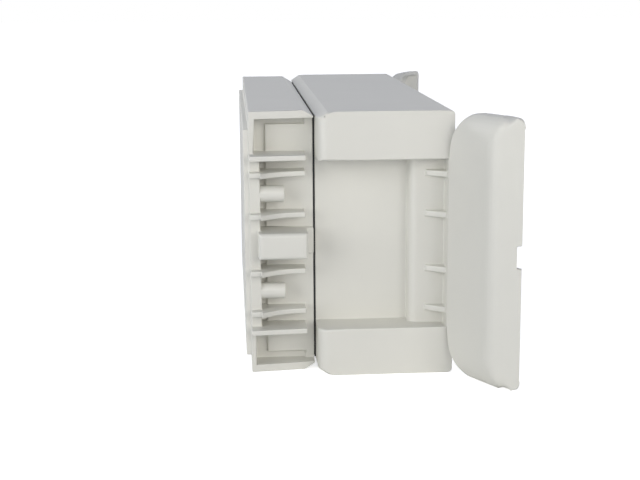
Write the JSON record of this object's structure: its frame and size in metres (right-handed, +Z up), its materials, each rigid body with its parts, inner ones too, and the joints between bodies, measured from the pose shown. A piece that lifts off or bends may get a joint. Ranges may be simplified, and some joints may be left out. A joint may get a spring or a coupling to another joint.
{
  "type": "plastic enclosure",
  "caption": "Pale grey moulded wall enclosure with a deep lid, ribbed base ends and hinged end flaps standing open.",
  "frame": {"origin": "middle of the wall face on the base's back pad", "axes": "+X from the wall to the lid's top, +Y along the length, +Z up across the width"},
  "size_m": [0.1224, 0.319, 0.125],
  "materials": {
    "plastic": "satin moulded",
    "rubber": "matte",
    "steel": "satin",
    "brass": "turned"
  },
  "bodies": {
    "base_body": {"base": "plastic", "insert_1": "brass", "insert_2": "brass", "insert_3": "brass", "insert_4": "brass"},
    "lid_body": {"lid": "plastic", "gasket": "rubber", "near_pin": "steel", "far_pin": "steel", "lid_screw_1": "steel", "lid_screw_2": "steel", "lid_screw_3": "steel", "lid_screw_4": "steel"},
    "near_flap_body": {"near_flap": "plastic"},
    "far_flap_body": {"far_flap": "plastic"}
  },
  "joints": [
    {"name": "lid_lift", "type": "slide", "parent": "base_body", "child": "lid_body", "axis": [1, 0, 0], "range_m": [0, 0.05]},
    {"name": "near_flap_hinge", "type": "hinge", "parent": "lid_body", "child": "near_flap_body", "pos_m": [0.1012, -0.1265, 0], "axis": [0, 0, 1], "range_deg": [0, 152]},
    {"name": "far_flap_hinge", "type": "hinge", "parent": "lid_body", "child": "far_flap_body", "pos_m": [0.1012, 0.1265, 0], "axis": [0, 0, 1], "range_deg": [-152, 0]}
  ]
}
